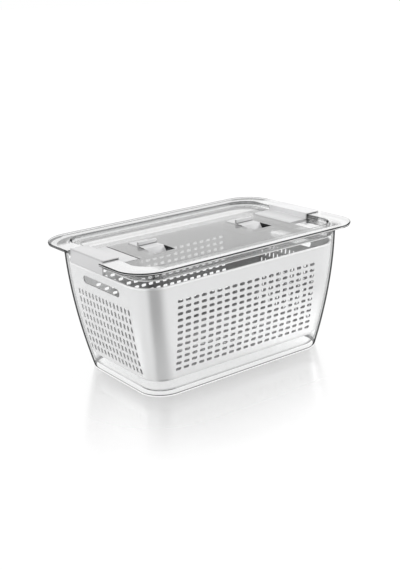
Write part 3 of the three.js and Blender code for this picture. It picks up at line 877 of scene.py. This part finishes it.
# painted shade on the latches and under and beside the vents' bars, and a painted highlight on the right
# latch's top
latchPaintedLight = {
    "latch": [
        ((135.3, None, 135.7), (None, None, None), 0.3, 0.6),
        ((132.0, None, None), (None, None, 135.6), 0.14, 0.4),
        ((130.0, None, None), (None, None, 123.4), 0.3, 0.7)],
    "vent": [
        ((-12.0, 5.6, 131.1), (12.0, 6.1, 131.8), 0.7, 0.15),
        ((-12.0, 4.9, 130.9), (12.0, 5.9, 131.1), 0.55, 0.3),
        ((-12.0, 5.9, 131.1), (-10.9, 8.7, 134.9), 0.4, 0.1),
        ((-12.0, -3.5, 129.4), (-10.9, 5.0, 130.8), 0.95, 0.1)],
    "rightTopGlare": [((118.0, None, 136.4), (None, None, None), 0.22, 0.5)],
}


def paintLatchLight(tree, place):
    # painted shade and light: the dark line along the shoulder, the dark places round the vents' bars and
    # the bright right strip, a painted highlight on the right latch alone
    dark = combined(tree, [
        *spots(tree, place, latchPaintedLight["latch"]), *spots(tree, by(place, "side"), latchPaintedLight["vent"])])
    light = combined(tree, spots(tree, by(place, "across"), latchPaintedLight["rightTopGlare"]))
    return calc(tree, "ADD", calc(tree, "SUBTRACT", 1.0, dark), light)


def paintLidShade(tree, place):
    # painted shade, dark where light is caught: the scoops' side walls, the flange's edges and the
    # recess's corners
    form = lidPaintedShade
    rim = outlineDistance(tree, place, lidForm["flange"])
    recess = outlineDistance(tree, place, lidRecess)

    def line(distance, reach, low, high, strength):
        near = ramp(tree, distance, -(reach + form["lineFade"]) / 1000, -reach / 1000)
        return times(tree, near, zone(tree, place, low, high, form["lineSoft"])), strength

    outer, inner = (ramp(tree, recess, *ends) for ends in form["ringReach"])
    ring = times(tree, outer, inner, zone(tree, place, *form["ring"]))
    return combined(tree, [
        *spots(tree, by(place, "side"), form["ventSides"]),
        *spots(tree, by(place, "far"), form["wellSides"]),
        *spots(tree, place, form["pockets"]), *[line(rim, *row) for row in form["flange"]],
        line(rim, *form["underFlange"], place["steep"]), *[line(recess, *row) for row in form["recess"]],
        (ring, form["ringDark"])])


def paintLidMilkAndHighlight(tree, place):
    # milky places: the wells, the pockets, the skirt's foot and the flange's front face; the bright line
    # at the skirt's foot and the white of the flange's front face are painted highlights
    form = lidMilkAndPaintedHighlight
    parts = spots(tree, by(place, "far"), form["wells"]) + spots(tree, place, form["pockets"])
    for name, outline in (("skirt", lidRecess), ("flange", lidForm["flange"])):
        reach = ramp(tree, outlineDistance(tree, place, outline), *form[name + "Reach"])
        rows = spots(tree, place, form[name])
        parts += [(times(tree, reach, mask), strength) for mask, strength in rows]
    return combined(tree, parts)


def paintLidReflection(tree, place):
    # painted reflection: how much the flange and the panel mirror at a glance, and how brightly, is set by
    # place; the panel's reflection is dimmed except at its back, and brighter than the studio in two
    # painted glints on its right half
    # the front side of the flange does so only on its edge
    form, across = lidPaintedReflection, by(place, "across")
    rim = outlineDistance(tree, place, lidForm["flange"])
    front = times(tree, ramp(tree, rim, *form["frontReach"]), zone(tree, place, *form["front"]))
    ends = calc(tree, "MAXIMUM", zone(tree, place, *form["ends"]), zone(tree, across, *form["leftEnd"]))
    shown = times(tree, calc(tree, "MAXIMUM", front, ends), ramp(tree, rim, *form["endReach"]))
    flange = times(tree, shown, zone(tree, place, *form["flangeTop"]))
    panel = zone(tree, place, *form["panelTop"])
    glint = times(tree, panel, combined(tree, spots(tree, across, form["paintedGlints"])))
    share = combined(tree, [(flange, form["flange"]), (panel, form["panel"]), (glint, form["glintShare"])])
    dimming = times(tree, *[ramp(tree, place["Y"], *form[name]) for name in ("panelDimming", "panelBack")])
    level = calc(tree, "SUBTRACT", 1.0, times(tree, panel, dimming))
    return share, calc(tree, "ADD", level, times(tree, glint, form["glintLight"]))


lidFilm = {**clearFilm, "shade": (0.5, 0.5, 0.5), "sheen": 0.06, "mirrored": (0.72, 0.72, 0.72)}
sealFilm = {
    **clearFilm, "body": (0.93, 0.93, 0.93), "roughness": 0.25, "sheen": 0.08, "shade": (0.9, 0.9, 0.9)}
lidPlastic = clearPlastic("lidPlastic", lidFilm, paintLidShade, paintLidReflection, paintLidMilkAndHighlight)
sealSilicone = clearPlastic("sealSilicone", sealFilm)
latchPlastic = solidPlastic("latchPlastic", {
    "colour": (0.65, 0.65, 0.655), "pearl": 0.1,
    "finish": {"Roughness": 0.36, "Grain Size": 1700.0, "Grain Depth": 0.06}}, paintLatchLight)
padSilicone = solidPlastic("padSilicone", {
    "colour": (0.5, 0.5, 0.505), "finish": {"Roughness": 0.6, "Grain Depth": 0.15}})
print("materials made")


def hingePin(form, middle, along, play=0.0, room=0.0):
    return rod(form["pin"] + play, form["width"] + 2 * form["pinReach"] + room, middle, along)


def wellHeights():
    form = ventForm
    tip = form["top"] - form["drop"]
    bottom = tip - form["floorGap"] - 0.3
    front = -(form["crease"] + form["tongue"]) - form["endGap"]
    return tip, bottom, bottom - form["wellFloor"], front, form["back"] + form["endGap"]


def lidRows():
    # the lid's section from the panel's underside, out over the flange and back to the panel's top
    form = lidForm
    outer, flange, top, edge = form["skirtOutside"], form["flange"], form["top"], form["edge"]
    under, panelUnder = top - form["thickness"], form["panelTop"] - form["panelThickness"]
    low, ledgeTop = form["skirtBottom"], form["skirtBottom"] + form["ledgeHeight"]
    ledge = grown(outer, form["ledge"])
    mark, face, fillet = form["skirtMark"], form["skirtFaceMark"], form["skirtFillet"]
    lift, sink = form["topFillet"], form["panelFillet"]
    return [
        (grown(lidRecess, -0.3), panelUnder - 0.3, mark), (lidRecess, panelUnder - 1.0, face),
        (lidRecess, low + 0.4, face), (grown(lidRecess, 0.12), low + 0.1, face),
        (grown(lidRecess, 0.4), low, face),
        (grown(ledge, -0.4), low, face), (grown(ledge, -0.1), low + 0.1, face), (ledge, low + 0.4, face),
        (ledge, ledgeTop - 0.2, face), (grown(ledge, -0.2), ledgeTop, face), (outer, ledgeTop, face),
        (outer, under - fillet - 0.6, face), (outer, under - fillet, mark),
        (grown(outer, fillet * 0.3), under - fillet * 0.3, mark), (grown(outer, fillet), under, mark, 0),
        (grown(outer, 2 * fillet), under, 0, 0), (grown(flange, -edge - 1.4), under, 0, 0),
        (grown(flange, -edge - 0.6), under, form["underMark"], 0),
        *arc(flange, under, range(0, 76, 15), -edge, edge, form["edgeMark"], 0),
        (flange, under + edge, 0, 0), *arc(flange, top, (80,), -edge, -edge, 0, 0),
        *arc(flange, top, (60, 40, 20), -edge, -edge, form["overMark"], 0),
        *arc(flange, top, (0,), -edge, -edge, 0, 0), (grown(flange, -edge - 0.4), top, 0, 0),
        (grown(lidRecess, lift + 0.5), top, 0, 0),
        *arc(lidRecess, top, (0, 22, 45, 67, 90), lift, -lift, form["recessMark"]),
        *arc(lidRecess, form["panelTop"], (90, 68, 45, 23, 0), -sink, sink, form["recessMark"]),
        (grown(lidRecess, -sink - 0.5), form["panelTop"], 0, 0),
    ]


def drawLid():
    form, latch, vent = lidForm, latchForm, ventForm
    outer, flange, top = form["skirtOutside"], form["flange"], form["top"]
    under, panelUnder = top - form["thickness"], form["panelTop"] - form["panelThickness"]
    bm = newDrawing()
    start = grown(lidRecess, -1.0)
    edges = startLoop(bm, start, panelUnder, form["cornerSteps"])
    edges = climb(bm, edges, start, lidRows())
    bmesh.ops.contextual_create(bm, geom=edges)
    bmesh.ops.recalc_face_normals(bm, faces=bm.faces)

    hingeX, hingeZ = latch["hinge"]
    halfTab = latch["width"] / 2 + latch["gap"]
    halfBoss = halfTab + latch["pocketSide"]
    pocketFloor = hingeZ - latch["barrel"] - latch["gap"]
    pocketEnd = hingeX - latch["barrel"] - latch["backGap"]
    wellBottom, wellUnder, wellFront, wellBack = wellHeights()[1:]
    scoopFront, wall = wellFront - vent["scoop"], vent["wellWall"]
    halfWell = vent["width"] / 2 + vent["sideGap"]
    roof, above = form["panelTop"] - 0.6, 5
    joins, hollows, notches, holes = newDrawing(), newDrawing(), newDrawing(), newDrawing()
    for side in (-1, 1):
        boss = soften(block(
            (pocketEnd - latch["pocketEnd"], -halfBoss, pocketFloor - latch["pocketFloor"]),
            (lidRecess[0] + 1.0, halfBoss, roof)), 1.0, 4)
        hollow = block((pocketEnd, -halfTab, pocketFloor), (lidRecess[0] - 0.02, halfTab, top + above))
        notch = block((outer[0] + 0.02, -halfTab, under - 0.3), (flange[0] + above, halfTab, top + above))
        pins = hingePin(latch, (hingeX, 0, hingeZ), "Y", **pinHole)
        # each drawing carries its painted darkness: painted shade on the lid's bosses, hollows and notches
        for group, drawing, mark in (
                (joins, boss, form["bossMark"]), (hollows, hollow, form["pocketMark"]),
                (notches, notch, form["recessMark"]), (holes, pins, 0)):
            markAll(drawing, mark)
            joinIn(group, flipped(drawing) if side < 0 else drawing)
        body = soften(prism([
            (wellBack + wall, roof), (scoopFront - wall, roof), (scoopFront - wall, panelUnder - 1.0),
            (wellFront - wall / 2, wellUnder), (wellBack + wall, wellUnder),
        ], 2 * (halfWell + wall), "X"), 0.8, 4)
        room = prism([
            (wellBack, form["panelTop"] + above), (scoopFront, form["panelTop"] + above),
            (scoopFront, form["panelTop"]), (wellFront, wellBottom), (wellBack, wellBottom),
        ], 2 * halfWell, "X")
        pins = hingePin(vent, (0, *vent["pivot"]), "X", **pinHole)
        width, length, back = vent["hole"]
        air = block((-width / 2, back - length, wellUnder - 2), (width / 2, back, wellBottom + 1))
        for group, drawing, mark in (
                (joins, body, form["bossMark"]), (hollows, room, form["pocketMark"]),
                (holes, pins, 0), (notches, air, form["bossMark"])):
            markAll(drawing, mark)
            joinIn(group, moved(drawing, (side * vent["place"], 0, 0)))
    return carved(bm, [
        ("UNION", joins), ("DIFFERENCE", hollows), ("DIFFERENCE", notches), ("DIFFERENCE", holes)])


addPiece(drawLid(), "lid_plate", "lid", lidPlastic, ["lid"], crease=25, fixNormals=False)


sealShape = {"gap": 0.3, "height": 4.6, "band": 1.2, "lip": 0.6, "shares": (0.15, 0.6), "bottom": 123.0}


def drawSeal():
    form = sealShape
    band = grown(lidForm["skirtOutside"], form["gap"])
    face = grown(band, form["band"])
    low, high = form["bottom"], form["bottom"] + form["height"]
    rows = [(grown(face, -0.3), low, 0), (face, low + 0.3, 0)]
    for share in form["shares"]:
        root = low + form["height"] * share
        tip = wallOutline(root + 1.5 * form["lip"], binForm["wall"] + form["gap"])
        rows += [
            (face, root, 0), (grown(tip, -0.25), root + form["lip"], 0),
            (tip, root + 1.25 * form["lip"], 0), (tip, root + 1.7 * form["lip"], 0),
            (grown(tip, -0.3), root + 2 * form["lip"], 0), (face, root + 2.2 * form["lip"], 0)]
    rows += [(face, high - 0.3, 0), (grown(face, -0.3), high, 0), (band, high, 0)]
    return closedRing(band, low, lidForm["cornerSteps"], rows)


addPiece(drawSeal(), "lid_seal_ring", "lid", sealSilicone, ["lid_seal"])


def drawLatch():
    form = latchForm
    hingeX, hingeZ = form["hinge"]
    radius = form["barrel"]
    tabUnder = form["tabTop"] - form["tab"]
    top = form["stripUnder"] + form["strip"]
    low = top - form["drop"]
    riserInner, shoulder = form["riserOuter"] - form["riser"], form["shoulder"]
    tip = shoulder + form["flare"]
    end = 360 + math.degrees(math.asin((tabUnder - hingeZ) / radius))
    turns = [math.radians(90 + (end - 90) * i / 20) for i in range(21)]
    points = [
        *[(hingeX + radius * math.cos(a), hingeZ + radius * math.sin(a)) for a in turns],
        (form["riserOuter"], tabUnder), (form["riserOuter"], form["stripUnder"]),
        (shoulder - form["flap"], form["stripUnder"]),
        (tip - form["flap"], low + form["hook"] + form["ramp"]), (form["hookTip"], low + form["hook"]),
        (form["hookTip"], low), (tip, low), (shoulder, top),
        (riserInner, top), (riserInner, form["tabTop"]),
    ]
    bm = soften(prism(points, form["width"], "Y"), form["round"], 3, 25)
    joinIn(bm, hingePin(form, (hingeX, 0, hingeZ), "Y"))
    return bm


addPiece(drawLatch(), "latch_right_clip", "latch_right", latchPlastic, ["latch_right"])
addPiece(
    flipped(drawLatch()), "latch_left_clip", "latch_left", latchPlastic, ["latch_left"])


def drawRocker():
    form = ventForm
    tip, under = wellHeights()[0], form["top"] - form["plate"]
    barTop, barBack = form["top"] + form["barHeight"], form["barFront"] + form["bar"]
    end = -(form["crease"] + form["tongue"])
    plate = soften(prism([
        (form["back"], under), (form["back"], form["top"]), (barBack, form["top"]), (barBack, barTop),
        (form["barFront"], barTop), (form["barFront"], form["top"]), (-form["crease"], form["top"]),
        (end, tip + 0.5), (end + form["plate"] / 2, tip), (end + form["plate"], tip + 0.5),
        (form["plate"] / 2 - form["crease"], under),
    ], form["width"], "X"), form["round"], 3, 25)
    pivotY, pivotZ = form["pivot"]
    joinIn(plate, block(
        (-form["width"] / 2 + 0.4, pivotY - form["bar"] / 2, pivotZ),
        (form["width"] / 2 - 0.4, pivotY + form["bar"] / 2, under + 0.4)))
    joinIn(plate, rod(form["barrel"], form["width"] - 0.6, (0, pivotY, pivotZ), "X"))
    joinIn(plate, hingePin(form, (0, pivotY, pivotZ), "X"))
    halfX, front, back, low, high = padRoom()
    joinIn(plate, soften(block(
        (1.2 - halfX, front + 2.4, high + 0.3), (halfX - 1.2, back - 1.2, under + 0.4)), 0.4, 2))
    return plate


def padRoom():
    form = ventForm
    width, length, back = form["hole"]
    bottom = wellHeights()[1] + 0.3
    return (
        width / 2 + form["padMargin"], back - length - form["padMargin"], back + form["padMargin"],
        bottom, bottom + form["padThickness"])


for side, sign in (("left", -1), ("right", 1)):
    step = (sign * ventForm["place"], 0, 0)
    addPiece(
        moved(drawRocker(), step), f"vent_rocker_{side}_plate", f"vent_{side}",
        latchPlastic, [f"vent_rocker_{side}"])
    halfX, front, back, low, high = padRoom()
    pad = soften(block((-halfX, front, low), (halfX, back, high)), 0.35, 2)
    addPiece(
        moved(pad, step), f"vent_pad_{side}_block", f"vent_{side}",
        padSilicone, [f"vent_pad_{side}"])
print("pieces made")


# stage: floor, light, backdrop and camera

stageForm = {
    "floorSize": 80.0, "floorSink": 0.0003, "floorColour": 0.8, "shownColour": 0.12, "floorGlow": 0.9,
    "mirror": 0.5, "mirrorRoughness": 0.16, "mirrorReach": 0.14, "footprint": (110.25, 66.1, 26.4),
    "gapLight": 0.05, "gapAzimuth": -27.0, "gapLeft": (10.0, 35.0), "gapRight": (6.0, 48.0),
    "gapTop": (0.16, 0.32),
    "suns": {
        "leftSun": {"azimuth": -125, "elevation": 20, "spread": 40, "power": 0.74},
        "rightSun": {"azimuth": 60, "elevation": 20, "spread": 40, "power": 1.05},
    },
    "lens": 58.788, "cameraPlace": (-0.5441, -0.7478, 0.3753),
    "azimuth": -35.81, "elevation": 17.94, "roll": -2.58,
}


def shownRay(tree):
    # camera rays, and what mirrors and clear plastic show
    path = node(tree, "ShaderNodeLightPath")
    seen = calc(tree, "MAXIMUM", path.outputs["Is Camera Ray"], path.outputs["Is Glossy Ray"])
    return calc(tree, "MAXIMUM", seen, path.outputs["Is Transmission Ray"])


def besideGap(tree, across, along):
    # 0 in the dark gap beside the camera and 1 outside it, by the direction of a level vector
    form = stageForm
    azimuth = math.radians(form["gapAzimuth"])
    sine, cosine = math.sin(azimuth), math.cos(azimuth)
    level = node(tree, "ShaderNodeCombineXYZ", {"X": across, "Y": along}).outputs[0]
    toward, aside = (
        node(tree, "ShaderNodeVectorMath", {0: level, 1: axis}, operation="DOT_PRODUCT").outputs["Value"]
        for axis in ((sine, -cosine, 0), (cosine, sine, 0)))
    turn = calc(tree, "ARCTAN2", aside, toward)
    right = smooth(tree, turn, *[math.radians(a) for a in form["gapRight"]])
    left = smooth(tree, turn, *[-math.radians(a) for a in form["gapLeft"]])
    return calc(tree, "MAXIMUM", left, right)


def makeFloor():
    form = stageForm
    bm = bmesh.new()
    bmesh.ops.create_grid(bm, x_segments=1, y_segments=1, size=form["floorSize"] / 2)
    moved(bm, (0, 0, -form["floorSink"]))
    floor = asObject(bm, "studio_floor")
    material, tree = newMaterial("studioFloor")
    place = split(tree, node(tree, "ShaderNodeTexCoord").outputs["Object"])
    path = node(tree, "ShaderNodeLightPath")
    seen = shownRay(tree)

    # painted reflection: what satin surfaces mirror of the floor is darkened in the same gap as the
    # studio, from the near corner; only reflections see it
    halfX, halfY, radius = form["footprint"]
    across, along = (
        calc(tree, "ADD", place[axis], (half - radius) / 1000)
        for axis, half in (("X", halfX), ("Y", halfY)))
    gap = ramp(tree, besideGap(tree, across, along), 0, 1, form["gapLight"], 1)
    gap = blend(tree, path.outputs["Is Glossy Ray"], 1.0, gap)
    matt = node(tree, "ShaderNodeBsdfDiffuse", {
        "Color": times(tree, ramp(tree, seen, 0, 1, form["floorColour"], form["shownColour"]), gap)})
    light = node(tree, "ShaderNodeEmission", {"Strength": times(tree, seen, form["floorGlow"], gap)})
    ground = node(tree, "ShaderNodeAddShader", {0: matt.outputs[0], 1: light.outputs[0]})

    away = outlineDistance(tree, place, form["footprint"])
    fade = ramp(tree, away, 0, form["mirrorReach"], form["mirror"], 0)
    share = times(tree, fade, calc(tree, "GREATER_THAN", away), seen)
    gloss = node(tree, "ShaderNodeBsdfAnisotropic", {
        "Color": (1, 1, 1, 1), "Roughness": form["mirrorRoughness"]})
    mix = mixed(tree, share, ground, gloss)
    node(tree, "ShaderNodeOutputMaterial", {"Surface": mix.outputs[0]})
    floor.data.materials.append(material)


def makeWorld():
    # an even white studio with one dark gap beside the camera, which draws the streak down the near corner
    world = bpy.data.worlds.new("studio")
    scene.world = world
    world.use_nodes = True
    tree = world.node_tree
    tree.nodes.clear()
    aim = split(tree, node(tree, "ShaderNodeTexCoord").outputs["Generated"])
    above = smooth(tree, aim["Z"], *stageForm["gapTop"])
    bright = calc(tree, "MAXIMUM", besideGap(tree, aim["X"], aim["Y"]), above)
    strength = ramp(tree, bright, 0, 1, stageForm["gapLight"], 1.0)
    studio = node(tree, "ShaderNodeBackground", {"Color": (1, 1, 1, 1), "Strength": strength})
    white = node(tree, "ShaderNodeBackground", {"Color": (1, 1, 1, 1), "Strength": 1.0})
    path = node(tree, "ShaderNodeLightPath")
    mix = mixed(tree, path.outputs["Is Camera Ray"], studio, white)
    node(tree, "ShaderNodeOutputWorld", {"Surface": mix.outputs[0]})


def direction(azimuth, elevation):
    a, e = math.radians(azimuth), math.radians(elevation)
    return Vector((math.sin(a) * math.cos(e), -math.cos(a) * math.cos(e), math.sin(e)))


def makeLamps():
    for name, form in stageForm["suns"].items():
        data = bpy.data.lights.new(name, "SUN")
        data.energy, data.angle = form["power"], math.radians(form["spread"])
        lamp = bpy.data.objects.new(name, data)
        scene.collection.objects.link(lamp)
        lamp.rotation_mode = "QUATERNION"
        lamp.rotation_quaternion = direction(form["azimuth"], form["elevation"]).to_track_quat("Z", "Y")


def makeCamera():
    form = stageForm
    data = bpy.data.cameras.new("camera")
    data.lens, data.sensor_width, data.clip_end = form["lens"], 36.0, 20.0
    camera = bpy.data.objects.new("camera", data)
    scene.collection.objects.link(camera)
    back = direction(form["azimuth"], form["elevation"])
    turn = back.to_track_quat("Z", "Y").to_matrix() @ Matrix.Rotation(math.radians(form["roll"]), 3, "Z")
    camera.matrix_world = Matrix.Translation(form["cameraPlace"]) @ turn.to_4x4()
    scene.camera = camera


makeFloor()
makeWorld()
makeLamps()
makeCamera()
print("stage made")
